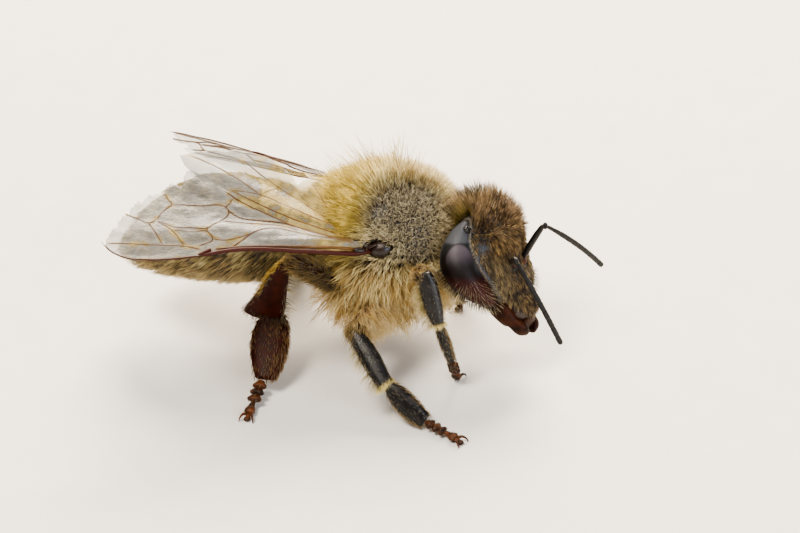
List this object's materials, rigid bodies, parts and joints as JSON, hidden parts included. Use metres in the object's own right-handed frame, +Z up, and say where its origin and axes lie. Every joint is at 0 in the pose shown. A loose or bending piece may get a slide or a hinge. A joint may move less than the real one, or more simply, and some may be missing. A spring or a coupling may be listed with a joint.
{
  "type": "honey bee",
  "caption": "Life-size worker honey bee standing still, head turned to its right, wings swept half open over the back.",
  "frame": {"origin": "middle of the bounding box, on the level the six feet stand on", "axes": "+X the way the bee faces, +Y its left, +Z up"},
  "size_m": [0.0162, 0.0134, 0.0075],
  "materials": {
    "coat": "fine buff and golden hair",
    "brown_coat": "short golden-brown hair over dark chitin",
    "dark_coat": "dark chitin with tan hair bands",
    "eye": "glossy brown-black compound eye",
    "black_chitin": "glossy black chitin",
    "brown_chitin": "satin dark maroon chitin",
    "amber_chitin": "satin amber-brown chitin",
    "membrane": "clear smoky wing membrane with brown veins"
  },
  "bodies": {
    "root": {"thorax": "coat", "abdomen": "dark_coat", "head": "brown_coat", "proboscis": "brown_chitin", "eye_right": "eye", "eye_left": "eye", "antenna_right_scape": "black_chitin", "antenna_right_flagellum": "black_chitin", "antenna_left_scape": "black_chitin", "antenna_left_flagellum": "black_chitin", "mandible_right": "brown_chitin", "mandible_left": "brown_chitin", "tegula_right": "black_chitin", "tegula_left": "black_chitin", "forewing_right": "membrane", "forewing_left": "membrane", "hindwing_right": "membrane", "hindwing_left": "membrane", "leg_front_right_femur": "brown_chitin", "leg_front_right_tibia": "black_chitin", "leg_front_right_basitarsus": "black_chitin", "leg_front_right_tarsus": "amber_chitin", "leg_front_left_femur": "brown_chitin", "leg_front_left_tibia": "black_chitin", "leg_front_left_basitarsus": "black_chitin", "leg_front_left_tarsus": "amber_chitin", "leg_mid_right_femur": "brown_chitin", "leg_mid_right_tibia": "black_chitin", "leg_mid_right_basitarsus": "black_chitin", "leg_mid_right_tarsus": "amber_chitin", "leg_mid_left_femur": "brown_chitin", "leg_mid_left_tibia": "black_chitin", "leg_mid_left_basitarsus": "black_chitin", "leg_mid_left_tarsus": "amber_chitin", "leg_hind_right_femur": "brown_chitin", "leg_hind_right_tibia": "brown_chitin", "leg_hind_right_basitarsus": "brown_chitin", "leg_hind_right_tarsus": "amber_chitin", "leg_hind_left_femur": "brown_chitin", "leg_hind_left_tibia": "brown_chitin", "leg_hind_left_basitarsus": "brown_chitin", "leg_hind_left_tarsus": "amber_chitin"}
  },
  "joints": []
}
